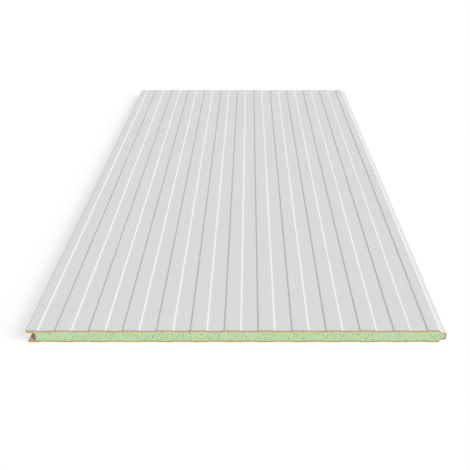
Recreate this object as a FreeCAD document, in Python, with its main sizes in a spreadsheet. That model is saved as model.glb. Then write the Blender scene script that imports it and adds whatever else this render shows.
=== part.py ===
"""Insulated sandwich panel for walls: two steel skins with shallow lengthwise valleys on a rigid foam core.

The long edges carry a tongue-and-groove joint. On the left the two skins wrap round a pair of blunt lips
with an open groove between them. On the right they step in to a tongue that slides into the next panel.
Strips of kraft tape close the foam where the skins leave it bare, at the groove's wall and the tongue's end.

Frame: X across the panel, Y along it, Z up. The panel lies on its inner face. The origin is at the middle of
the footprint, on the surface that the panel lies on. Every section lies in the XZ plane and runs along Y.
"""

import FreeCAD, Part
import enum
import math
import os

import Sketcher

DRIVING_SIZES = [  # alias, millimetres, what it is
    ("overall_width", 1150.0, "lip tip to tongue end"),
    ("panel_length", 2100.0, "length of the panel"),
    ("panel_thickness", 40.0, "outer face to inner face, over the raised bands"),
    ("skin_thickness", 0.5, "gauge of both coated steel skins"),
    ("lip_thickness", 8.0, "outside of a lip to its groove side"),
    ("nose_run", 4.0, "width of the bevel under a lip's nose"),
    ("nose_land", 3.0, "height of the upright front of a lip's nose"),
    ("groove_depth", 23.0, "tip of the outer lip to the groove's wall"),
    ("inner_lip_setback", 2.0, "how much shorter the inner lip is than the outer one"),
    ("groove_radius", 3.0, "rounding of the groove's two inside corners"),
    ("tongue_reach", 20.0, "shoulder to tongue end"),
    ("tongue_taper", 1.0, "how far each side of the tongue falls towards its end"),
    ("joint_clearance", 0.4, "play between a lip and the tongue's side"),
    ("step_run", 4.0, "width of the slope from a face down to the tongue"),
    ("step_radius", 1.0, "inside bend radius at the shoulder and at the slope's foot"),
    ("return_height", 5.0, "length of the skins' end folds, down the groove wall and the tongue end"),
    ("bend_radius", 1.0, "inside bend radius of the noses and of the tongue's corners"),
    ("rib_pitch", 92.5, "middle of one valley to the middle of the next"),
    ("valley_width", 47.0, "width of a valley, halfway up its slopes"),
    ("valley_depth", 1.5, "raised band down to the valley's floor"),
    ("slope_run", 4.5, "width of each slope of a valley"),
    ("valley_radius", 4.0, "inside bend radius of the valleys"),
    ("edge_band", 25.0, "least flat width between a long edge and the valley next to it"),
    ("tape_thickness", 0.2, "kraft tape over the bare foam"),
]

# The sketcher numbers the ends of a line or an arc from 1. A lone point counts as its own start.
End = enum.IntEnum("End", ["START", "FINISH"])


class Size:
    """A length in millimetres that knows its value and the spreadsheet formula that gives it."""

    def __init__(self, value, formula):
        self.value = value
        self.formula = formula

    @staticmethod
    def of(other):
        return other if isinstance(other, Size) else Size(float(other), repr(float(other)))

    def __add__(self, other):
        other = Size.of(other)
        return Size(self.value + other.value, f"({self.formula} + {other.formula})")

    def __sub__(self, other):
        other = Size.of(other)
        return Size(self.value - other.value, f"({self.formula} - {other.formula})")

    def __mul__(self, other):
        other = Size.of(other)
        return Size(self.value * other.value, f"({self.formula} * {other.formula})")

    def __truediv__(self, other):
        other = Size.of(other)
        return Size(self.value / other.value, f"({self.formula} / {other.formula})")

    def whole(self):
        """The whole number below the value."""
        return Size(math.floor(self.value), f"floor({self.formula})")


class Corner:
    """A named corner of a section: where its two sides would meet, and how it is rounded."""

    def __init__(self, name, x, z, radius=None):
        self.name = name
        self.x = x
        self.z = z
        self.radius = radius

    def point(self):
        return FreeCAD.Vector(self.x.value, self.z.value, 0)


class Section:
    """A fully constrained sketch in the XZ plane of a body, made of lines joined by tangent arcs."""

    def __init__(self, body, name):
        self.sketch = body.newObject("Sketcher::SketchObject", name)
        plane = next(f for f in body.Origin.OriginFeatures if f.Role == "XZ_Plane")
        self.sketch.AttachmentSupport = [(plane, "")]
        self.sketch.MapMode = "FlatFace"
        self.formulas = {}
        self.names = 0

    def constrain(self, *terms, size=None):
        """Adds a constraint. With a size it is a driving one, bound to the size's formula."""
        if size is None:
            self.sketch.addConstraint(Sketcher.Constraint(*terms))
            return
        index = self.sketch.addConstraint(Sketcher.Constraint(*terms, size.value))
        self.names += 1
        name = f"size_{self.names}"
        self.sketch.renameConstraint(index, name)
        self.formulas[name] = size.formula

    def place(self, geometry, position, corner):
        """Fixes a point at a corner's place."""
        self.constrain("DistanceX", geometry, position, size=corner.x)
        self.constrain("DistanceY", geometry, position, size=corner.z)

    def line(self, start, end):
        return self.sketch.addGeometry(Part.LineSegment(start, end), False)

    def corner_arc(self, before, at, after, radius):
        """An arc that rounds the corner, with its own numbers for the end near each side."""
        arrive, leave = (at - before).normalize(), (after - at).normalize()
        bisector = (leave - arrive).normalize()
        half_turn = arrive.getAngle(leave) / 2
        centre = at + bisector * (radius / math.cos(half_turn))
        trim = radius * math.tan(half_turn)
        ends = at - arrive * trim, at + leave * trim
        arc = Part.Arc(ends[0], centre - bisector * radius, ends[1])
        geometry = self.sketch.addGeometry(arc, False)
        turns_left = arrive.cross(leave).z > 0
        first, second = (End.START, End.FINISH) if turns_left else (End.FINISH, End.START)
        return geometry, first, second, ends

    def run(self, points, radii, closed):
        """Draws lines through the points and rounds each corner that has a radius. Returns lines and arcs."""
        count = len(points)
        arcs = {}
        for i in range(count):
            if radii[i] is not None:
                before, after = points[i - 1], points[(i + 1) % count]
                arcs[i] = self.corner_arc(before, points[i], after, radii[i].value)
        lines = []
        for i in range(count if closed else count - 1):
            following = (i + 1) % count
            start = arcs[i][3][1] if i in arcs else points[i]
            end = arcs[following][3][0] if following in arcs else points[following]
            lines.append(self.line(start, end))
        for i in range(0 if closed else 1, count if closed else count - 1):
            arriving, leaving = lines[i - 1], lines[i]
            if i in arcs:
                arc, first, second, _ = arcs[i]
                self.constrain("Tangent", arriving, End.FINISH, arc, first)
                self.constrain("Tangent", arc, second, leaving, End.START)
                self.constrain("Radius", arc, size=radii[i])
            else:
                self.constrain("Coincident", arriving, End.FINISH, leaving, End.START)
        return lines, arcs

    def path(self, corners, closed=False):
        """Draws the corners in order, each fixed at its own place."""
        points = [corner.point() for corner in corners]
        lines, arcs = self.run(points, [corner.radius for corner in corners], closed)
        for i, corner in enumerate(corners):
            if i in arcs:
                mark = self.sketch.addGeometry(Part.Point(corner.point()), True)
                self.place(mark, End.START, corner)
                self.constrain("PointOnObject", mark, End.START, lines[i - 1])
                self.constrain("PointOnObject", mark, End.START, lines[i])
            elif i < len(lines):
                self.place(lines[i], End.START, corner)
            else:
                self.place(lines[i - 1], End.FINISH, corner)
        return lines

    def sheet(self, corners, gauge, side):
        """Closes a path into a folded sheet of even gauge, left of the path for side 1 and right for -1."""
        lines = self.path(corners)
        points = [corner.point() for corner in corners]
        headings = [(b - a).normalize() for a, b in zip(points, points[1:])]
        normals = [FreeCAD.Vector(-h.y, h.x, 0) * side for h in headings]
        shifted, radii = [points[0] + normals[0] * gauge.value], [None]
        for i in range(1, len(points) - 1):
            mitre = (normals[i - 1] + normals[i]) / (1 + normals[i - 1].dot(normals[i]))
            shifted.append(points[i] + mitre * gauge.value)
            towards = headings[i - 1].cross(headings[i]).z * side > 0
            radii.append(corners[i].radius - gauge if towards else corners[i].radius + gauge)
        shifted.append(points[-1] + normals[-1] * gauge.value)
        radii.append(None)
        outside, _ = self.run(shifted, radii, closed=False)
        for inner, outer in zip(lines, outside):
            self.constrain("Parallel", inner, outer)
            self.constrain("Distance", outer, End.START, inner, size=gauge)
        for index, end in ((0, End.START), (-1, End.FINISH)):
            cut = self.line(points[index], shifted[index])
            self.constrain("Coincident", lines[index], end, cut, End.START)
            self.constrain("Coincident", cut, End.FINISH, outside[index], end)
            self.constrain("Perpendicular", lines[index], cut)

    def finish(self):
        """Binds the driving constraints to the spreadsheet."""
        for name, formula in self.formulas.items():
            self.sketch.setExpression(f"Constraints.{name}", formula)
        return self.sketch


def make_sheet(document):
    """Puts the driving sizes into the spreadsheet and returns them by alias."""
    table = document.addObject("Spreadsheet::Sheet", "sizes")
    sizes = {}
    for row, (alias, value, meaning) in enumerate(DRIVING_SIZES, start=1):
        table.set(f"A{row}", meaning)
        table.set(f"B{row}", str(value))
        table.setAlias(f"B{row}", alias)
        sizes[alias] = Size(value, f"sizes.{alias}")
    document.recompute()
    return sizes


class Layout:
    """Places that several sections share. A depth is measured in from a face, so it serves both faces."""

    def __init__(self, s):
        self.s = s
        self.skin = s["skin_thickness"]
        self.left = s["overall_width"] * -0.5
        self.right = s["overall_width"] * 0.5
        self.shoulder = self.right - s["tongue_reach"]
        self.wall = self.left + s["groove_depth"] + self.skin
        self.tongue_depth = s["lip_thickness"] + s["joint_clearance"]
        self.tongue_end_depth = self.tongue_depth + s["tongue_taper"]
        cover_width = self.shoulder - self.left
        cover_middle = (self.left + self.shoulder) / 2
        room = cover_width - s["edge_band"] * 2 - s["valley_width"] - s["slope_run"]
        self.bands = (room / s["rib_pitch"]).whole()
        self.first_valley = cover_middle - self.bands * s["rib_pitch"] / 2
        self.last_valley = cover_middle + self.bands * s["rib_pitch"] / 2

    def height(self, face, depth):
        """The height of a depth below the outer face, or above the inner one."""
        return self.s["panel_thickness"] - depth if face == "outer" else Size.of(0) + depth

    def corner(self, face, name, x, depth, radius=None):
        return Corner(f"{face}_{name}", x, self.height(face, depth), radius)

    def lip(self, face):
        """The foam's corners round a lip, from the groove's wall to the nose's top."""
        s, skin = self.s, self.skin
        tip = self.left if face == "outer" else self.left + s["inner_lip_setback"]
        inside = s["lip_thickness"] - skin
        return [
            self.corner(face, "groove", self.wall, inside, s["groove_radius"] + skin),
            self.corner(face, "heel", tip + s["nose_run"] + skin, inside, s["bend_radius"]),
            self.corner(face, "toe", tip + skin, s["nose_land"], s["bend_radius"]),
            self.corner(face, "nose", tip + skin, skin, s["bend_radius"]),
        ]

    def valley_floor(self, face, x):
        """A point in the middle of a valley, where one section meets the next."""
        return self.corner(face, "floor", x, self.skin + self.s["valley_depth"])

    def slope(self, face, x, valley_on_right):
        """The foam's two corners on one slope of the valley whose middle is at x, the left one first."""
        s, skin = self.s, self.skin
        side = -1 if valley_on_right else 1
        brow_x = x + (s["valley_width"] + s["slope_run"]) * (side / 2)
        foot_x = x + (s["valley_width"] - s["slope_run"]) * (side / 2)
        brow = self.corner(face, "brow", brow_x, skin, s["valley_radius"])
        foot = self.corner(face, "foot", foot_x, skin + s["valley_depth"], s["valley_radius"] + skin)
        return [brow, foot] if valley_on_right else [foot, brow]

    def left_edge(self, face):
        """The foam's corners from the groove's wall round the lip to the middle of the first valley."""
        valley = self.slope(face, self.first_valley, valley_on_right=True)
        return self.lip(face) + valley + [self.valley_floor(face, self.first_valley)]

    def band(self, face):
        """The foam's corners over one raised band, from the middle of the first valley to the next one's."""
        start, end = self.first_valley, self.first_valley + self.s["rib_pitch"]
        up = self.slope(face, start, valley_on_right=False)
        down = self.slope(face, end, valley_on_right=True)
        return [self.valley_floor(face, start)] + up + down + [self.valley_floor(face, end)]

    def right_edge(self, face):
        """The foam's corners from the middle of the last valley over the shoulder to the tongue's end."""
        s, skin = self.s, self.skin
        foot = self.shoulder + s["step_run"]
        up = self.slope(face, self.last_valley, valley_on_right=False)
        return [self.valley_floor(face, self.last_valley)] + up + [
            self.corner(face, "shoulder", self.shoulder, skin, s["step_radius"]),
            self.corner(face, "root", foot, self.tongue_depth + skin, s["step_radius"] + skin),
            self.corner(face, "tip", self.right - skin, self.tongue_end_depth + skin, s["bend_radius"]),
        ]


def pad(body, sketch, layout, name):
    """Runs a section along the whole panel, half to each side of the XZ plane."""
    feature = body.newObject("PartDesign::Pad", name)
    feature.Profile = sketch
    feature.SideType = "Symmetric"
    feature.setExpression("Length", layout.s["panel_length"].formula)
    sketch.Visibility = False
    return feature


def repeat_across(body, feature, layout):
    """Repeats the raised band across the panel, once for each pitch."""
    body.Document.recompute()
    pattern = body.newObject("PartDesign::LinearPattern", f"{body.Name}_bands")
    pattern.Originals = [feature]
    across = next(f for f in body.Origin.OriginFeatures if f.Role == "X_Axis")
    pattern.Direction = (across, [""])
    pattern.Mode = "Spacing"
    pattern.setExpression("Offset", layout.s["rib_pitch"].formula)
    pattern.setExpression("Occurrences", layout.bands.formula)
    body.Tip = pattern
    body.Document.recompute()


def make_body(document, label):
    body = document.addObject("PartDesign::Body", label)
    body.Label = label
    return body


def make_skin(document, layout, face, label):
    """A coated steel skin, folded from one sheet, from the groove's wall across to the tongue's end."""
    s = layout.s
    body = make_body(document, label)
    side = 1 if face == "outer" else -1

    def section(name, corners):
        drawn = Section(body, f"{label}_{name}_section")
        drawn.sheet(corners, layout.skin, side)
        return pad(body, drawn.finish(), layout, f"{label}_{name}")

    groove_fold = layout.corner(face, "fold_end", layout.wall, s["lip_thickness"] + s["return_height"])
    tongue_fold = layout.corner(face, "fold_end", layout.right - layout.skin,
                                layout.tongue_end_depth + s["return_height"])
    section("left_edge", [groove_fold] + layout.left_edge(face))
    repeat_across(body, section("band", layout.band(face)), layout)
    section("right_edge", layout.right_edge(face) + [tongue_fold])
    return body


def make_core(document, layout, label):
    """The rigid foam core. It fills the space between the skins, their lips and the sides of the tongue."""
    body = make_body(document, label)

    def section(name, outline):
        drawn = Section(body, f"{label}_{name}_section")
        drawn.path(outline("outer") + outline("inner")[::-1], closed=True)
        return pad(body, drawn.finish(), layout, f"{label}_{name}")

    section("left_edge", layout.left_edge)
    repeat_across(body, section("band", layout.band), layout)
    section("right_edge", layout.right_edge)
    return body


def make_tape(document, layout, label, x, edge_depth):
    """A strip of kraft tape on the bare foam, from the end fold of one skin to that of the other."""
    s = layout.s
    tape = document.addObject("Part::Box", label)
    tape.Label = label
    start = edge_depth + s["return_height"]
    tape.setExpression("Length", s["tape_thickness"].formula)
    tape.setExpression("Width", s["panel_length"].formula)
    tape.setExpression("Height", (s["panel_thickness"] - start * 2).formula)
    tape.setExpression("Placement.Base.x", x.formula)
    tape.setExpression("Placement.Base.y", (s["panel_length"] * -0.5).formula)
    tape.setExpression("Placement.Base.z", start.formula)
    return tape


def check(document, parts):
    """Stops the build if a feature failed, or a part isn't one valid solid."""
    for thing in document.Objects:
        if {"Invalid", "Error"} & set(thing.State):
            raise RuntimeError(f"{thing.Label} failed: {thing.State}")
    for part in parts:
        shape = part.Shape
        if shape.isNull() or not shape.isValid() or len(shape.Solids) != 1:
            raise RuntimeError(f"{part.Label} isn't one valid solid")


def main():
    document = FreeCAD.newDocument("sandwich_panel")
    layout = Layout(make_sheet(document))
    s = layout.s
    parts = [
        make_skin(document, layout, "outer", "outer_skin"),
        make_skin(document, layout, "inner", "inner_skin"),
        make_core(document, layout, "foam_core"),
        make_tape(document, layout, "groove_tape", layout.wall - s["tape_thickness"], s["lip_thickness"]),
        make_tape(document, layout, "tongue_tape", layout.right - layout.skin, layout.tongue_end_depth),
    ]
    document.recompute()
    check(document, parts)
    os.makedirs("parts", exist_ok=True)
    for part in parts:
        part.Shape.exportStep(f"parts/{part.Label}.step")
        box = part.Shape.BoundBox
        print(f"{part.Label}: {part.Shape.Volume / 1000:.1f} cm3, {len(part.Shape.Faces)} faces, "
              f"{box.XLength:.2f} x {box.YLength:.2f} x {box.ZLength:.2f} mm")


main()
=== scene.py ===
"""Dresses an insulated wall panel: coated steel sheets, sawn foam ends and kraft edge tapes, on a pale floor.

Everything is in metres, in the panel's own frame: X across it, Y along it and Z up, with the panel on its
inner face. A section is drawn as (x, height above the panel's middle plane), so one line serves both faces.
"""

import math

import bpy
import numpy as np
from mathutils import Euler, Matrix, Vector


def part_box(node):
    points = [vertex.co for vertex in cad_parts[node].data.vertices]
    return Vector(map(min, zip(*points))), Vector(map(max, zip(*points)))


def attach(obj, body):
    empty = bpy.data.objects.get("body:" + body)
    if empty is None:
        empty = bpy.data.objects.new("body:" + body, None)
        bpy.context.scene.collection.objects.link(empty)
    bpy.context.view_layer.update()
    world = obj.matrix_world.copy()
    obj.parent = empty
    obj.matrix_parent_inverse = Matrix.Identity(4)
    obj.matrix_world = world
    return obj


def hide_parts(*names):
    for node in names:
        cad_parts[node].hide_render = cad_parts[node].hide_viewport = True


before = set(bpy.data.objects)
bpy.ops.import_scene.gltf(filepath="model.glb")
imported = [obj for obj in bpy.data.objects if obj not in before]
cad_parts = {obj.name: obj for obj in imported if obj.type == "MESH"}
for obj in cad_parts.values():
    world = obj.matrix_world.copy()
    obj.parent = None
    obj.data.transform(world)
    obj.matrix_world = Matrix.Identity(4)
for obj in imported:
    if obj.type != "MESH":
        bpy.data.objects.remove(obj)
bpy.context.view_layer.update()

bl_info = {
    "name": "Insulated Wall Panel",
    "version": (1, 0, 0),
    "blender": (4, 5, 0),
    "location": "View3D > Sidebar > Wall Panel",
    "description": "Builds the sheets, foam, tapes and studio of a foam-cored steel wall panel",
    "category": "Add Mesh",
}

OUTER_LOW, OUTER_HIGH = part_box("outer_skin")
INNER_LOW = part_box("inner_skin")[0]
FOAM_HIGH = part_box("foam_core")[1]
GROOVE_LOW, GROOVE_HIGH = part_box("groove_tape")
TONGUE_LOW, TONGUE_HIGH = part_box("tongue_tape")

MIDDLE = (OUTER_HIGH.z + INNER_LOW.z) / 2
HALF_THICKNESS = (OUTER_HIGH.z - INNER_LOW.z) / 2
HALF_LENGTH = (OUTER_HIGH.y - OUTER_LOW.y) / 2
FACES = {"outer": 1, "inner": -1}

# A sheet's material slots.
COATED, CUT = 0, 1

# A sheet's line has the lip's corners first, from the tape to the top of the nose, and the tongue's last.
TAPE_EDGE, NOSE_TOP = 0, 4
TONGUE_CORNERS = 4

# What the saw leaves of the foam: larger voids, smaller pores, slanting marks, and a seed for each end.
BUBBLES = {"spacing": 0.0100, "radii": (0.0014, 0.0028), "share": 0.66}
PORES = {"spacing": 0.0036, "radii": (0.0007, 0.0013), "share": 0.45}
BUBBLE_DEPTH, PORE_DEPTH = 0.0013, 0.0005
SAW_DEPTH, SAW_MARK = 0.00025, 0.00008
END_SEEDS = {-1: 11, 1: 23}


def linear(hex_colour):
    """An sRGB hex colour as linear red, green and blue."""
    channels = np.array([int(hex_colour[i:i + 2], 16) for i in (1, 3, 5)]) / 255
    low, high = channels / 12.92, ((channels + 0.055) / 1.055) ** 2.4
    return tuple(float(c) for c in np.where(channels <= 0.04045, low, high))


def length(name, description, default):
    """A size in metres that a user can set."""
    return bpy.props.FloatProperty(name=name, description=description, default=default,
                                   unit="LENGTH", precision=5)


def colour(name, description, hex_colour):
    """A colour that a user can set."""
    return bpy.props.FloatVectorProperty(name=name, description=description, default=linear(hex_colour),
                                         subtype="COLOR", size=3, min=0, max=1)


class SectionSizes(bpy.types.PropertyGroup):
    """The panel's section, apart from what the solid model's own boxes give."""

    gauge: length("Gauge", "Thickness of both sheets", OUTER_HIGH.z - FOAM_HIGH.z)
    lip_thickness: length("Lip thickness", "Face to the groove's side", 0.008)
    nose_run: length("Nose run", "Width of the bevel under a lip's nose", 0.004)
    nose_land: length("Nose land", "Height of the upright front of a nose", 0.003)
    groove_radius: length("Groove radius", "Rounding of the groove's inside corners", 0.003)
    tongue_reach: length("Tongue reach", "Shoulder to the tongue's end", 0.020)
    tongue_depth: length("Tongue depth", "Face to the tongue's root", 0.0084)
    tongue_taper: length("Tongue taper", "Fall of the tongue's side towards its end", 0.001)
    step_run: length("Step run", "Width of the slope from a face to the tongue", 0.004)
    step_radius: length("Step radius", "Rounding of the shoulder and the slope's foot", 0.001)
    bend_radius: length("Bend radius", "Rounding of the noses and the tongue's corners", 0.001)
    valley_pitch: length("Valley pitch", "One valley to the next", 0.0925)
    valley_width: length("Valley width", "Width halfway up the slopes", 0.047)
    valley_depth: length("Valley depth", "Raised band to valley floor", 0.0015)
    slope_run: length("Slope run", "Width of a valley's slope", 0.0045)
    valley_radius: length("Valley radius", "Rounding of the valleys' bends", 0.004)
    valley_count: bpy.props.IntProperty(name="Valleys", description="Valleys on each face", default=12, min=2)


class Finishes(bpy.types.PropertyGroup):
    """The colours of the panel and the studio, and how far the saw, the rind and the glue mark the ends."""

    coating: colour("Coating", "Light grey polyester coil coating", "#DBD9DA")
    primer: colour("Primer", "Ochre primer that the saw lays bare along the ends", "#DFB48A")
    cut_edge: colour("Cut edge", "Bare cut edge of the sheets, with its coppery bloom", "#C0874D")
    foam: colour("Foam", "Pale green rigid foam", "#C8E7BE")
    foam_warm: colour("Warm foam", "Yellower patches in the foam", "#D2E7BA")
    speckle_and_hollow_shade: colour("Foam cells", "Open cells and small voids in the foam", "#74A564")
    # The tone of the foam's darker speckles, and also of the painted shade in its hollows.
    rind: colour("Rind", "Dense amber foam next to the sheets", "#C79C68")
    stain: colour("Stain", "Foam browned by the tape's glue", "#A08A5C")
    kraft: colour("Kraft", "Brown kraft edge tape", "#A38A5E")
    floor: colour("Floor", "Studio floor", "#DCDCDC")
    primer_width: length("Primer width", "How far the saw wears the coating back", 0.0036)
    rind_width: length("Rind width", "How deep the amber foam goes at the outer face", 0.0024)
    stain_width: length("Stain width", "How deep the glue browns the foam", 0.0022)
    inner_rind: bpy.props.FloatProperty(name="Inner rind", default=1.75, min=1,
                                        description="How many times deeper the amber goes at the inner face")


def mesh_object(name, points, quads, materials, slots=None, sharp_angle=math.radians(35)):
    """A finished piece from arrays of points and quads. The points are already in place."""
    mesh = bpy.data.meshes.new(name)
    mesh.vertices.add(len(points))
    mesh.vertices.foreach_set("co", np.ascontiguousarray(points, np.float32).ravel())
    mesh.loops.add(quads.size)
    mesh.loops.foreach_set("vertex_index", np.ascontiguousarray(quads, np.int32).ravel())
    mesh.polygons.add(len(quads))
    mesh.polygons.foreach_set("loop_start", np.arange(0, quads.size, 4, dtype=np.int32))
    if slots is not None:
        mesh.polygons.foreach_set("material_index", np.ascontiguousarray(slots, np.int32))
    mesh.update(calc_edges=True)
    mesh.validate()
    mesh.shade_smooth()
    mesh.set_sharp_from_angle(angle=sharp_angle)
    for material in materials:
        mesh.materials.append(material)
    piece = bpy.data.objects.new(name, mesh)
    bpy.context.scene.collection.objects.link(piece)
    return piece


def grid_quads(index):
    """The quads between neighbouring rows and columns of a grid of vertex numbers."""
    return np.stack([index[:-1, :-1], index[1:, :-1], index[1:, 1:], index[:-1, 1:]], axis=-1).reshape(-1, 4)


def closed_body(layer, rim, count):
    """The quads of a body between a layer and its twin, whose vertices come a count later.

    The twin is turned over, and a band of quads along the rim joins the two.
    """
    around = np.stack([rim, np.roll(rim, -1)], axis=1)
    band = np.concatenate([around, around[:, ::-1] + count], axis=1)
    return np.concatenate([layer, layer[:, ::-1] + count, band])


def drifting_sine(angle, drift, other):
    """The sine of an angle, with a phase that drifts by so many radians with the sine of another angle.

    Where an angle comes from a length, the length's factor is in radians per metre.
    """
    return np.sin(angle + drift * np.sin(other))


# ---------------------------------------------------------------- the section

def rounded_line(corners, steps=6):
    """A line through corners (x, height, radius) with its inner corners rounded.

    Each corner is an arc that touches both of its sides. The arc is sampled at even angles: the unit normal
    turns from the first side's to the second's, and a point is the arc's centre less that normal times the
    radius. Gives the points, their left-hand normals, and the corner that each belongs to.
    """
    place, radius = corners[:, :2], corners[1:-1, 2:]
    along = np.diff(place, axis=0)
    along /= np.linalg.norm(along, axis=1, keepdims=True)
    normal = np.stack([-along[:, 1], along[:, 0]], axis=1)
    arrive, leave = along[:-1], along[1:]
    cross = arrive[:, 0] * leave[:, 1] - arrive[:, 1] * leave[:, 0]
    turn = np.arctan2(cross, (arrive * leave).sum(1))[:, None]
    start = place[1:-1] - arrive * radius * np.tan(abs(turn) / 2)
    centre = start + normal[:-1] * radius * np.sign(turn)
    angle = (turn * np.linspace(0, 1, steps))[:, :, None]
    turned = normal[:-1, None] * np.cos(angle) - arrive[:, None] * np.sin(angle)
    rounded = centre[:, None] - turned * (radius * np.sign(turn))[:, None]
    points = np.concatenate([place[:1], rounded.reshape(-1, 2), place[-1:]])
    normals = np.concatenate([normal[:1], turned.reshape(-1, 2), normal[-1:]])
    owner = np.concatenate([[0], np.repeat(np.arange(1, len(place) - 1), steps), [len(place) - 1]])
    return points, normals, owner


def facing_corners(face):
    """The corners of the line where a sheet meets the foam, from its groove fold to its tongue fold."""
    size = bpy.context.scene.panel_sizes
    gauge = size.gauge
    left, right = OUTER_LOW.x, OUTER_HIGH.x
    tip = left if face == "outer" else INNER_LOW.x
    shoulder = right - size.tongue_reach
    wall = GROOVE_HIGH.x
    inside = size.lip_thickness - gauge
    tongue_end = size.tongue_depth + size.tongue_taper

    def at(x, depth, radius=0.0):
        """A corner at an x and a depth below the face."""
        return x, HALF_THICKNESS - depth, radius

    lip = [
        at(wall, HALF_THICKNESS - (GROOVE_HIGH.z - MIDDLE)),
        at(wall, inside, size.groove_radius + gauge),
        at(tip + size.nose_run + gauge, inside, size.bend_radius),
        at(tip + gauge, size.nose_land, size.bend_radius),
        at(tip + gauge, gauge, size.bend_radius),
    ]
    brow, foot = (size.valley_width + size.slope_run) / 2, (size.valley_width - size.slope_run) / 2
    floor = gauge + size.valley_depth
    valley = np.array([
        at(-brow, gauge, size.valley_radius),
        at(-foot, floor, size.valley_radius + gauge),
        at(foot, floor, size.valley_radius + gauge),
        at(brow, gauge, size.valley_radius),
    ])
    places = np.arange(size.valley_count) - (size.valley_count - 1) / 2
    middles = (left + shoulder) / 2 + places * size.valley_pitch
    valleys = valley[None] + np.stack([middles, 0 * middles, 0 * middles], axis=1)[:, None]
    tongue = [
        at(shoulder, gauge, size.step_radius),
        at(shoulder + size.step_run, size.tongue_depth + gauge, size.step_radius + gauge),
        at(right - gauge, tongue_end + gauge, size.bend_radius),
        at(right - gauge, HALF_THICKNESS - (TONGUE_HIGH.z - MIDDLE)),
    ]
    return np.concatenate([lip, valleys.reshape(-1, 3), tongue])


def add_between(points, normals, spacing):
    """The same line with more points on its long straight stretches, at most about a spacing apart."""
    travelled = np.concatenate([[0], np.cumsum(np.linalg.norm(np.diff(points, axis=0), axis=1))])
    extra = np.arange(spacing, travelled[-1], spacing)
    clear = np.abs(extra[:, None] - travelled[None]).min(1) > spacing / 4
    stops = np.sort(np.concatenate([travelled, extra[clear]]))
    line = np.stack([np.interp(stops, travelled, points[:, k]) for k in (0, 1)], axis=1)
    turned = np.stack([np.interp(stops, travelled, normals[:, k]) for k in (0, 1)], axis=1)
    return line, turned / np.linalg.norm(turned, axis=1, keepdims=True)


# ---------------------------------------------------------------- the pieces

def make_sheet(name, face, materials, spacing=0.008, station_step=0.045, sag=0.0001, calm_end=0.15):
    """One folded sheet, swept along the panel.

    The section's closed loop is the foam-side line and, going back, the same line moved out by the gauge
    along its normals. The sheet sinks by the mean of two sines, one across and one along, up to the sag, as
    thin sheet on foam does. The waves die out at the ends, so the cut edges stay straight.
    """
    gauge = bpy.context.scene.panel_sizes.gauge
    foam_side, normals = add_between(*rounded_line(facing_corners(face))[:2], spacing)
    air_side = foam_side + normals * gauge
    loop = np.concatenate([foam_side, air_side[::-1]])
    rows, columns = len(loop), round(2 * HALF_LENGTH / station_step) + 1
    y = np.linspace(-HALF_LENGTH, HALF_LENGTH, columns)
    x = loop[:, :1] + 0 * y
    across, along = drifting_sine(x * 31, 1.3, y * 2.3), drifting_sine(y * 9.7, 2.1, x * 5.1)
    wave = 0.5 + (across + along) / 4
    calm = np.clip((HALF_LENGTH - np.abs(y)) / calm_end, 0, 1) ** 2
    level = loop[:, 1:] - sag * wave * calm
    points = np.stack([x, y + 0 * x, MIDDLE + FACES[face] * level], axis=-1).reshape(-1, 3)

    index = np.arange(rows * columns).reshape(rows, columns)
    sides = grid_quads(np.concatenate([index, index[:1]]))
    half = rows // 2
    slots = np.full((rows, columns - 1), COATED)
    slots[[half - 1, rows - 1]] = CUT
    front, back = (grid_quads(np.stack([index[:half, end], index[::-1][:half, end]])) for end in (0, -1))
    quads = np.concatenate([sides, front, back[:, ::-1]])
    slots = np.concatenate([slots.ravel(), np.full(len(front) + len(back), CUT)])
    if FACES[face] > 0:
        quads = quads[:, ::-1]
    return mesh_object(name, points, quads, materials, slots)


def hollows(x, z, seed, spacing, radii, share, push=0.09, shallowest=0.45):
    """Rounded hollows on a jittered lattice: how deep each point lies, from 0 to 1.

    The plane is cut into square cells. A share of the cells holds one hollow, with a random centre, radius
    and depth. Inside it the depth is one less the square of the distance from its centre in radii. The points
    are first pushed about by gentle sines, so the hollows aren't quite round.
    """
    u, v = x / spacing, z / spacing
    px = u + push * drifting_sine(v * 5, 2, u * 1.7)
    pz = v + push * drifting_sine(u * 4, 2, v * 2.3)
    column, row = np.floor(px).astype(int), np.floor(pz).astype(int)
    low = column.min() - 1, row.min() - 1
    cells = np.random.default_rng(seed).random((column.max() - low[0] + 3, row.max() - low[1] + 3, 5))
    depth = np.zeros_like(x)
    for dx in (-1, 0, 1):
        for dz in (-1, 0, 1):
            i, j = column + dx, row + dz
            a, b, size, deep, there = np.moveaxis(cells[i - low[0], j - low[1]], -1, 0)
            radius = (radii[0] + (radii[1] - radii[0]) * size) / spacing
            far = ((px - i - a) ** 2 + (pz - j - b) ** 2) / radius ** 2
            dip = np.clip(1 - far, 0, 1) * (shallowest + (1 - shallowest) * deep)
            depth = np.maximum(depth, dip * (there < share))
    return depth


def foam_lines():
    """For each face, its line over body and lip, the line under its lip, and the x of its keen corners."""
    lines = {}
    for face in FACES:
        points, _, owner = rounded_line(facing_corners(face))
        shoulder, tongue_end = owner.max() + 1 - TONGUE_CORNERS, owner.max() - 1
        lip = (owner > TAPE_EDGE) & (owner <= NOSE_TOP)
        tongue = (owner >= shoulder) & (owner <= tongue_end)
        lines[face] = {
            "top": points[(owner >= NOSE_TOP) & (owner <= tongue_end)],
            "under": points[lip & (owner < NOSE_TOP)][::-1],
            "marks": points[lip | tongue, 0],
        }
    return lines


def stations(low, high, marks, step):
    """Values from low to high about a step apart, and the marks between them, no two of them nearly alike."""
    even = np.linspace(low, high, round((high - low) / step) + 1)
    joined = np.sort(np.concatenate([even, marks[(marks > low) & (marks < high)]]))
    keep = np.concatenate([[True], np.diff(joined) > step / 10])
    keep[-1] = True
    return joined[keep]


def height_at(line, x):
    """A line's height at each x."""
    return np.interp(x, line[:, 0], line[:, 1])


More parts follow.
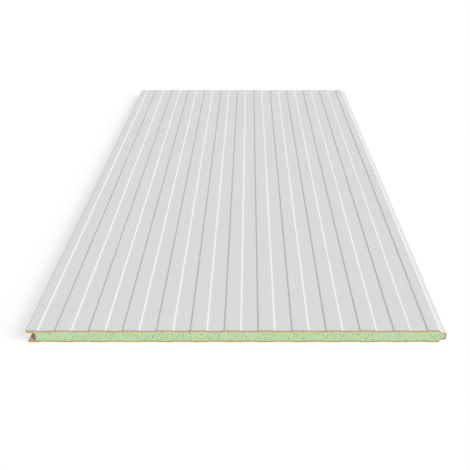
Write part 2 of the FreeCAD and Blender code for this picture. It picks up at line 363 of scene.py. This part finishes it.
def foam_end(step=0.001):
    """A sawn end laid flat: its points, their distances from sheet and tape, its quads and its rim.

    An end is three grids that share their seam at the groove's wall: the body and the two lips. At each x a
    column of points runs from the lower line to the upper one, at the same shares of the height in every
    column. Both lines come from the rounded line where the sheets meet the foam.
    """
    lines = foam_lines()
    deeper = finishes().inner_rind
    wall, end = GROOVE_HIGH.x, lines["outer"]["top"][-1, 0]
    body_x = stations(wall, end, lines["outer"]["marks"], step)
    upper, lower = height_at(lines["outer"]["top"], body_x), -height_at(lines["inner"]["top"], body_x)
    mouth_height = height_at(lines["outer"]["under"], wall)
    mouth_low, mouth_top = (np.array([-1, 1]) * mouth_height - lower[0]) / (upper[0] - lower[0])
    stops = [0, mouth_low, mouth_top, 1]
    counts = [max(2, round((b - a) * 2 * HALF_THICKNESS / step)) for a, b in zip(stops, stops[1:])]
    runs = [np.linspace(a, b, count + 1)[1:] for a, b, count in zip(stops, stops[1:], counts)]
    shares = np.concatenate([[0], *runs])
    last_inner, first_outer = counts[0], counts[0] + counts[1]

    tall = (upper - lower)[:, None]
    body = np.stack(np.broadcast_arrays(body_x[:, None], lower[:, None] + shares * tall), -1)
    past_mouth = np.maximum(0, np.abs(body[..., 1]) - mouth_height)
    from_tape = np.minimum(np.hypot((body_x - wall)[:, None], past_mouth), (end - body_x)[:, None])
    points, tape = [body.reshape(-1, 2)], [from_tape.ravel()]
    rind = [(np.minimum(shares / deeper, 1 - shares) * tall).ravel()]
    core = np.arange(body[..., 0].size).reshape(body.shape[:2])
    taken, lips = core.size, []
    for face, side in FACES.items():
        top, under = lines[face]["top"], lines[face]["under"]
        x = stations(top[0, 0], wall, lines[face]["marks"], step)[:-1]
        high, low = height_at(top, x), height_at(under, x)
        if side > 0:
            share, seam = (shares[first_outer:] - mouth_top) / (1 - mouth_top), core[0, first_outer:]
        else:
            share, seam = 1 - shares[:last_inner + 1] / mouth_low, core[0, :last_inner + 1]
        h = low[:, None] + share * (high - low)[:, None]
        gap = np.minimum(share, 1 - share) * (high - low)[:, None] / (1 if side > 0 else deeper)
        points.append(np.stack(np.broadcast_arrays(x[:, None], side * h), -1).reshape(-1, 2))
        rind.append(np.minimum(gap, (x - top[0, 0])[:, None]).ravel())
        tape.append(np.hypot((wall - x)[:, None], h - mouth_height).ravel())
        lips.append(np.concatenate([taken + np.arange(h.size).reshape(h.shape), seam[None]]))
        taken += h.size
    outer, inner = lips
    rim = np.concatenate([
        outer[:-1, -1], core[:-1, -1], core[-1, ::-1][:-1], core[::-1, 0][:-1],
        inner[::-1, 0], inner[0, 1:], inner[1:, -1], core[0, last_inner + 1:first_outer + 1],
        outer[::-1, 0][1:], outer[0, 1:-1],
    ])
    quads = np.concatenate([grid_quads(core), grid_quads(outer), grid_quads(inner)])
    return np.concatenate(points), np.concatenate(rind), np.concatenate(tape), quads, rim


def make_foam(name, fade=0.0008, least=0.15, pore_shade_share=0.7):
    """The foam: two sawn ends as fine grids that have real hollows, and plain sides under the sheets.

    An end lies in from the sheets' cut by the depth of the saw, of its slanting marks, and of the hollows.
    Next to an edge all that fades to its least share. The attributes hold what the foam's material needs:
    the distances from the sheets and the tapes, and how deep a point lies in a hollow, which the material
    turns into painted shade.
    """
    flat, rind, tape, quads, rim = foam_end()
    x, z = flat.T
    saw = 0.5 + 0.5 * drifting_sine(x * 610 + z * 260, 2, x * 37)
    ends, cells = [], []
    for side, seed in END_SEEDS.items():
        big, small = hollows(x, z, seed, **BUBBLES), hollows(x, z, seed + 1, **PORES)
        inset = SAW_DEPTH + BUBBLE_DEPTH * big + PORE_DEPTH * small + SAW_MARK * saw
        inset *= np.clip(np.minimum(rind, tape) / fade, least, 1)
        ends.append(np.stack([x, side * (HALF_LENGTH - inset), MIDDLE + z], axis=1))
        # How deep each point lies in a hollow, with pores counting less; the material paints shade from it.
        cells.append(np.maximum(big, pore_shade_share * small))
    foam = mesh_object(name, np.concatenate(ends), closed_body(quads, rim, len(flat)), [rigid_foam()])
    marks = {"rind": np.tile(rind, 2), "tape": np.tile(tape, 2), "cell": np.concatenate(cells)}
    for label, values in marks.items():
        layer = foam.data.attributes.new(label, "FLOAT", "POINT")
        layer.data.foreach_set("value", values.astype(np.float32))
    return foam


def make_tape(name, low, high, out, material, rows=10, station_step=0.006, deepest=0.00005):
    """A strip of tape as a thin closed slab. Its bare face dips a little along the middle, unevenly."""
    y = np.linspace(low.y, high.y, round((high.y - low.y) / station_step) + 1)
    z = np.linspace(low.z, high.z, rows + 1)[:, None] + 0 * y
    across = (z - low.z) / (high.z - low.z)
    ripple = 0.5 + 0.5 * drifting_sine(y * 83 + across * 4, 3, y * 17)
    dip = deepest * ripple * np.sin(across * math.pi)
    bonded, bare = (high.x, low.x) if out < 0 else (low.x, high.x)
    faces = [bonded + 0 * dip, bare - out * dip]
    points = np.concatenate([np.stack([x, y + 0 * z, z], axis=-1).reshape(-1, 3) for x in faces])
    index = np.arange(z.size).reshape(z.shape)
    rim = np.concatenate([index[0, :-1], index[:-1, -1], index[-1, ::-1][:-1], index[::-1, 0][:-1]])
    quads = closed_body(grid_quads(index), rim, z.size)
    return mesh_object(name, points, quads[:, ::-1] if out < 0 else quads, [material])


# ---------------------------------------------------------------- the materials

def add(tree, kind, inputs=None, **settings):
    """Adds a node, sets its properties, and links or fills its inputs.

    An input that is given a node takes that node's first output.
    """
    made = tree.nodes.new(kind)
    for name, value in settings.items():
        setattr(made, name, value)
    for socket, value in (inputs or {}).items():
        source = value.outputs[0] if isinstance(value, bpy.types.Node) else value
        if isinstance(source, bpy.types.NodeSocket):
            tree.links.new(source, made.inputs[socket])
        else:
            made.inputs[socket].default_value = source
    return made


def new_material(name):
    """A material with an empty node tree, and the tree."""
    material = bpy.data.materials.new(name)
    material.use_nodes = True
    material.node_tree.nodes.clear()
    return material, material.node_tree


def finishes():
    """The colours and widths that a user can set."""
    return bpy.context.scene.panel_finishes


def rgba(value):
    """A colour with full alpha."""
    return (*value, 1.0)


def shades(tree, factor, value, spread):
    """A colour that wavers between a little darker and a little lighter."""
    dark, light = rgba(c * (1 - spread) for c in value), rgba(min(1, c * (1 + spread)) for c in value)
    return add(tree, "ShaderNodeMixRGB", {"Fac": factor, "Color1": dark, "Color2": light})


def coil_coating(peel=1 / 700, streak=1 / 160, stretch=25, chip=0.004, boundary=0.0004):
    """Polyester coil coating on galvanised sheet, rolled on and baked: matt, with a faint orange peel.

    Streaks that are 25 times as long as wide, drawn out by the rolling, vary its colour and gloss a little.
    Along the two sawn ends the blade wears it back to its ochre primer, in an uneven band. The sizes are in
    metres: dimples of the peel 1.4 mm wide, streaks 6.3 mm, chips 4 mm, and a boundary to the primer 0.4 mm.
    """
    material, tree = new_material("polyester_coil_coating")
    place = add(tree, "ShaderNodeTexCoord").outputs["Object"]
    drawn_out = add(tree, "ShaderNodeMapping", {"Vector": place, "Scale": (1, 1 / stretch, 1)})
    dimples = add(tree, "ShaderNodeTexNoise", {"Vector": place, "Scale": 1 / peel, "Detail": 1})
    streaks = add(tree, "ShaderNodeTexNoise", {"Vector": drawn_out, "Scale": 1 / streak, "Detail": 3})
    paint = shades(tree, streaks, finishes().coating, spread=0.015)

    along = add(tree, "ShaderNodeSeparateXYZ", {"Vector": place}).outputs["Y"]
    off_middle = add(tree, "ShaderNodeMath", {0: along}, operation="ABSOLUTE")
    chips = add(tree, "ShaderNodeTexNoise", {"Vector": place, "Scale": 1 / chip, "Detail": 4})
    reach = add(tree, "ShaderNodeMath", {0: chips, 1: finishes().primer_width, 2: off_middle},
                operation="MULTIPLY_ADD")
    edge = HALF_LENGTH - finishes().primer_width / 2
    worn = add(tree, "ShaderNodeMapRange", {"Value": reach, "From Min": edge, "From Max": edge + boundary})
    bared = shades(tree, chips, finishes().primer, spread=0.2)
    tint = add(tree, "ShaderNodeMixRGB", {"Fac": worn, "Color1": paint, "Color2": bared})
    rough = add(tree, "ShaderNodeMapRange", {"Value": streaks, "To Min": 0.68, "To Max": 0.76})
    bump = add(tree, "ShaderNodeBump", {"Height": dimples, "Strength": 0.08, "Distance": 0.00002})
    coat = add(tree, "ShaderNodeBsdfPrincipled", {
        "Base Color": tint, "Roughness": rough, "Normal": bump, "Specular IOR Level": 0.12})
    add(tree, "ShaderNodeOutputMaterial", {"Surface": coat})
    return material


def sheared_steel(patch=1 / 160):
    """The bare cut edge of galvanised steel sheet: a little rough, with a coppery bloom in 6 mm patches."""
    material, tree = new_material("sheared_galvanised_steel")
    place = add(tree, "ShaderNodeTexCoord").outputs["Object"]
    patches = add(tree, "ShaderNodeTexNoise", {"Vector": place, "Scale": 1 / patch, "Detail": 3})
    steel = add(tree, "ShaderNodeBsdfPrincipled", {
        "Base Color": shades(tree, patches, finishes().cut_edge, spread=0.2), "Roughness": 0.55,
        "Metallic": 0.25})
    add(tree, "ShaderNodeOutputMaterial", {"Surface": steel})
    return material


def band_by_distance(tree, distance, wander, width, sway=2 / 3, fade_end=1.6):
    """1 next to an edge and 0 past a width, with a soft boundary that wanders by a share of the width."""
    uneven = add(tree, "ShaderNodeMath", {0: wander, 1: width * sway, 2: distance}, operation="MULTIPLY_ADD")
    return add(tree, "ShaderNodeMapRange", {"Value": uneven, "From Min": width, "From Max": width * fade_end,
                                            "To Min": 1, "To Max": 0})


def rigid_foam(patch=0.022, cell=0.0011, blotch=0.008):
    """Rigid polyisocyanurate foam, sawn across: matt pale green, with patches and with darker speckles.

    Next to the sheets it has a dense amber rind, and the glue of the tapes browns it. Its hollows carry
    painted shade, darker the deeper a point lies. The sizes are in metres: patches 22 mm wide, cells 1.1 mm,
    which is two or three times their real width so that they show, and blotches of 8 mm that make the amber
    and brown bands uneven.
    """
    material, tree = new_material("rigid_polyisocyanurate_foam")
    place = add(tree, "ShaderNodeTexCoord").outputs["Object"]
    from_sheet, from_tape, in_hollow = (add(tree, "ShaderNodeAttribute", attribute_name=name).outputs["Fac"]
                                        for name in ("rind", "tape", "cell"))
    # The tone of the darker speckles and of the painted shade in the hollows.
    speckle_and_shade_tone = rgba(finishes().speckle_and_hollow_shade)
    cloudy = add(tree, "ShaderNodeTexNoise", {"Vector": place, "Scale": 1 / patch, "Detail": 3})
    patches = add(tree, "ShaderNodeMapRange", {"Value": cloudy, "From Min": 0.35, "From Max": 0.65})
    grain = add(tree, "ShaderNodeTexVoronoi", {"Vector": place, "Scale": 1 / cell})
    shade = add(tree, "ShaderNodeMixRGB", {"Fac": patches, "Color1": rgba(finishes().foam),
                                           "Color2": rgba(finishes().foam_warm)})
    fine = add(tree, "ShaderNodeMapRange", {"Value": grain, "From Min": 0.2, "From Max": 0.75,
                                            "To Max": 0.18})
    dotted = add(tree, "ShaderNodeMixRGB", {"Fac": fine, "Color1": shade, "Color2": speckle_and_shade_tone})
    # Painted shade: the deeper a point lies in a hollow, the more of the dark tone it takes.
    deep = add(tree, "ShaderNodeMapRange", {"Value": in_hollow, "From Min": 0.05, "From Max": 0.5,
                                            "To Max": 0.62})
    hollow_shaded = add(tree, "ShaderNodeMixRGB", {"Fac": deep, "Color1": dotted, "Color2": speckle_and_shade_tone})

    wander = add(tree, "ShaderNodeTexNoise", {"Vector": place, "Scale": 1 / blotch, "Detail": 2})
    glued = band_by_distance(tree, from_tape, wander, finishes().stain_width)
    stained = add(tree, "ShaderNodeMixRGB", {"Fac": glued, "Color1": hollow_shaded,
                                             "Color2": rgba(finishes().stain)})
    dense = band_by_distance(tree, from_sheet, wander, finishes().rind_width)
    amber = shades(tree, wander, finishes().rind, spread=0.25)
    skinned = add(tree, "ShaderNodeMixRGB", {"Fac": dense, "Color1": stained, "Color2": amber})
    bump = add(tree, "ShaderNodeBump", {"Height": grain, "Strength": 0.6, "Distance": 0.0004})
    foam = add(tree, "ShaderNodeBsdfPrincipled", {
        "Base Color": skinned, "Roughness": 0.95, "Normal": bump, "Specular IOR Level": 0.15})
    add(tree, "ShaderNodeOutputMaterial", {"Surface": foam})
    return material


def kraft_paper(fibre=1 / 900, blotch=0.012, fleck=0.0015, stretch=20 / 3, fleck_tone=0.4):
    """Kraft paper tape: brown and matt, with short fibres along the strip and darker flecks.

    The sizes are in metres: fibres 1.1 mm wide, blotches 12 mm and flecks 1.5 mm, all drawn out to nearly
    seven times that along the strip.
    """
    material, tree = new_material("kraft_paper_tape")
    place = add(tree, "ShaderNodeTexCoord").outputs["Object"]
    along = add(tree, "ShaderNodeMapping", {"Vector": place, "Scale": (1, 1 / stretch, 1)})
    fibres = add(tree, "ShaderNodeTexNoise", {"Vector": along, "Scale": 1 / fibre, "Detail": 4})
    blotches = add(tree, "ShaderNodeTexNoise", {"Vector": along, "Scale": 1 / blotch, "Detail": 2})
    flecks = add(tree, "ShaderNodeTexNoise", {"Vector": along, "Scale": 1 / fleck, "Detail": 1})
    paper = add(tree, "ShaderNodeMixRGB", {
        "Fac": 0.5, "Color1": shades(tree, fibres, finishes().kraft, spread=0.25),
        "Color2": shades(tree, blotches, finishes().kraft, spread=0.2)})
    dark = add(tree, "ShaderNodeMapRange", {"Value": flecks, "From Min": 0.62, "From Max": 0.7,
                                            "To Max": 0.45})
    tint = add(tree, "ShaderNodeMixRGB", {"Fac": dark, "Color1": paper,
                                          "Color2": rgba(c * fleck_tone for c in finishes().kraft)})
    bump = add(tree, "ShaderNodeBump", {"Height": fibres, "Strength": 0.3, "Distance": 0.0001})
    tape = add(tree, "ShaderNodeBsdfPrincipled", {
        "Base Color": tint, "Roughness": 0.8, "Normal": bump, "Specular IOR Level": 0.2})
    add(tree, "ShaderNodeOutputMaterial", {"Surface": tape})
    return material


def shows_backdrop(tree, strength):
    """A strength for rays from the camera and from gloss or glass, and 0 for the rays that light things."""
    path = add(tree, "ShaderNodeLightPath").outputs
    seen = path["Is Camera Ray"]
    for kind in ("Is Glossy Ray", "Is Transmission Ray"):
        seen = add(tree, "ShaderNodeMath", {0: seen, 1: path[kind]}, operation="MAXIMUM")
    return add(tree, "ShaderNodeMath", {0: seen, 1: strength}, operation="MULTIPLY")


def matt_floor(glow=0.6, strength=1.2):
    """Matt pale studio floor. It takes the panel's shadow, and a backdrop's glow shows it as white."""
    material, tree = new_material("matt_studio_floor")
    paint = add(tree, "ShaderNodeBsdfDiffuse", {"Color": rgba(finishes().floor)})
    bright = add(tree, "ShaderNodeEmission", {"Strength": strength})
    both = add(tree, "ShaderNodeMixShader", {"Fac": shows_backdrop(tree, glow), 1: paint, 2: bright})
    add(tree, "ShaderNodeOutputMaterial", {"Surface": both})
    return material


# ---------------------------------------------------------------- the operators

def settle(piece, node):
    """Makes a piece stand for its solid, which it hides, and move with the panel."""
    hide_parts(node)
    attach(piece, "root")


class AddSheets(bpy.types.Operator):
    """Adds the two folded and coated steel sheets."""

    bl_idname = "wall_panel.add_sheets"
    bl_label = "Add Steel Sheets"

    def execute(self, context):
        materials = [coil_coating(), sheared_steel()]
        settle(make_sheet("outer_sheet", "outer", materials), "outer_skin")
        settle(make_sheet("inner_sheet", "inner", materials), "inner_skin")
        return {"FINISHED"}


class AddFoam(bpy.types.Operator):
    """Adds the foam core with its sawn ends."""

    bl_idname = "wall_panel.add_foam"
    bl_label = "Add Foam Core"

    def execute(self, context):
        settle(make_foam("foam"), "foam_core")
        return {"FINISHED"}


class AddTapes(bpy.types.Operator):
    """Adds the kraft tapes at the groove's wall and the tongue's end."""

    bl_idname = "wall_panel.add_tapes"
    bl_label = "Add Edge Tapes"

    def execute(self, context):
        paper = kraft_paper()
        settle(make_tape("groove_strip", GROOVE_LOW, GROOVE_HIGH, -1, paper), "groove_tape")
        settle(make_tape("tongue_strip", TONGUE_LOW, TONGUE_HIGH, 1, paper), "tongue_tape")
        return {"FINISHED"}


class AddStage(bpy.types.Operator):
    """Adds the floor, the light and the camera."""

    bl_idname = "wall_panel.add_stage"
    bl_label = "Add Studio"

    def execute(self, context):
        scene = context.scene
        reach = 30.0
        corners = np.array([[-1, -1, 0], [1, -1, 0], [1, 1, 0], [-1, 1, 0]]) * reach
        floor = mesh_object("floor", corners + [0, 0, INNER_LOW.z], np.array([[0, 1, 2, 3]]), [matt_floor()])

        sun = bpy.data.lights.new("key", "SUN")
        sun.energy = 4.2
        sun.angle = math.radians(36)
        key = bpy.data.objects.new("key", sun)
        above_floor, towards_front = math.radians(31), math.radians(21)
        key.rotation_euler = Euler((0, math.pi / 2 - above_floor, -towards_front), "XYZ")
        scene.collection.objects.link(key)

        world = bpy.data.worlds.new("studio_air")
        world.use_nodes = True
        world.node_tree.nodes.clear()
        tree = world.node_tree
        soft_light = 0.30
        strength = add(tree, "ShaderNodeMath", {0: shows_backdrop(tree, 1 - soft_light), 1: soft_light},
                       operation="ADD")
        air = add(tree, "ShaderNodeBackground", {"Color": (1, 1, 1, 1), "Strength": strength})
        add(tree, "ShaderNodeOutputWorld", {"Surface": air})
        scene.world = world

        data = bpy.data.cameras.new("camera")
        data.sensor_width = 36
        data.lens = 46.62
        data.shift_x = -0.0311
        camera = bpy.data.objects.new("camera", data)
        camera.location = 0.0364, -2.334, 1.118
        below_level = math.radians(31.06)
        camera.rotation_euler = math.pi / 2 - below_level, 0, 0
        scene.collection.objects.link(camera)
        scene.camera = camera
        scene.view_settings.view_transform = "Standard"
        return {"FINISHED"}


class WallPanelSidebar(bpy.types.Panel):
    """Lists what can be added, with the sizes and the colours."""

    bl_idname = "VIEW3D_PT_wall_panel"
    bl_label = "Wall Panel"
    bl_space_type = "VIEW_3D"
    bl_region_type = "UI"
    bl_category = "Wall Panel"

    def draw(self, context):
        for operator in OPERATORS:
            self.layout.operator(operator.bl_idname)
        for group in (context.scene.panel_sizes, context.scene.panel_finishes):
            for name in group.__annotations__:
                self.layout.prop(group, name)


OPERATORS = (AddSheets, AddFoam, AddTapes, AddStage)
CLASSES = (SectionSizes, Finishes, *OPERATORS, WallPanelSidebar)


def register():
    """Makes the sizes, colours, operators and sidebar known."""
    for each in CLASSES:
        bpy.utils.register_class(each)
    bpy.types.Scene.panel_sizes = bpy.props.PointerProperty(type=SectionSizes)
    bpy.types.Scene.panel_finishes = bpy.props.PointerProperty(type=Finishes)


def unregister():
    """Takes them away again."""
    del bpy.types.Scene.panel_finishes
    del bpy.types.Scene.panel_sizes
    for each in reversed(CLASSES):
        bpy.utils.unregister_class(each)


def main():
    """Builds everything in order."""
    register()
    bpy.ops.wall_panel.add_sheets()
    bpy.ops.wall_panel.add_foam()
    bpy.ops.wall_panel.add_tapes()
    bpy.ops.wall_panel.add_stage()


if __name__ == "__main__":
    main()
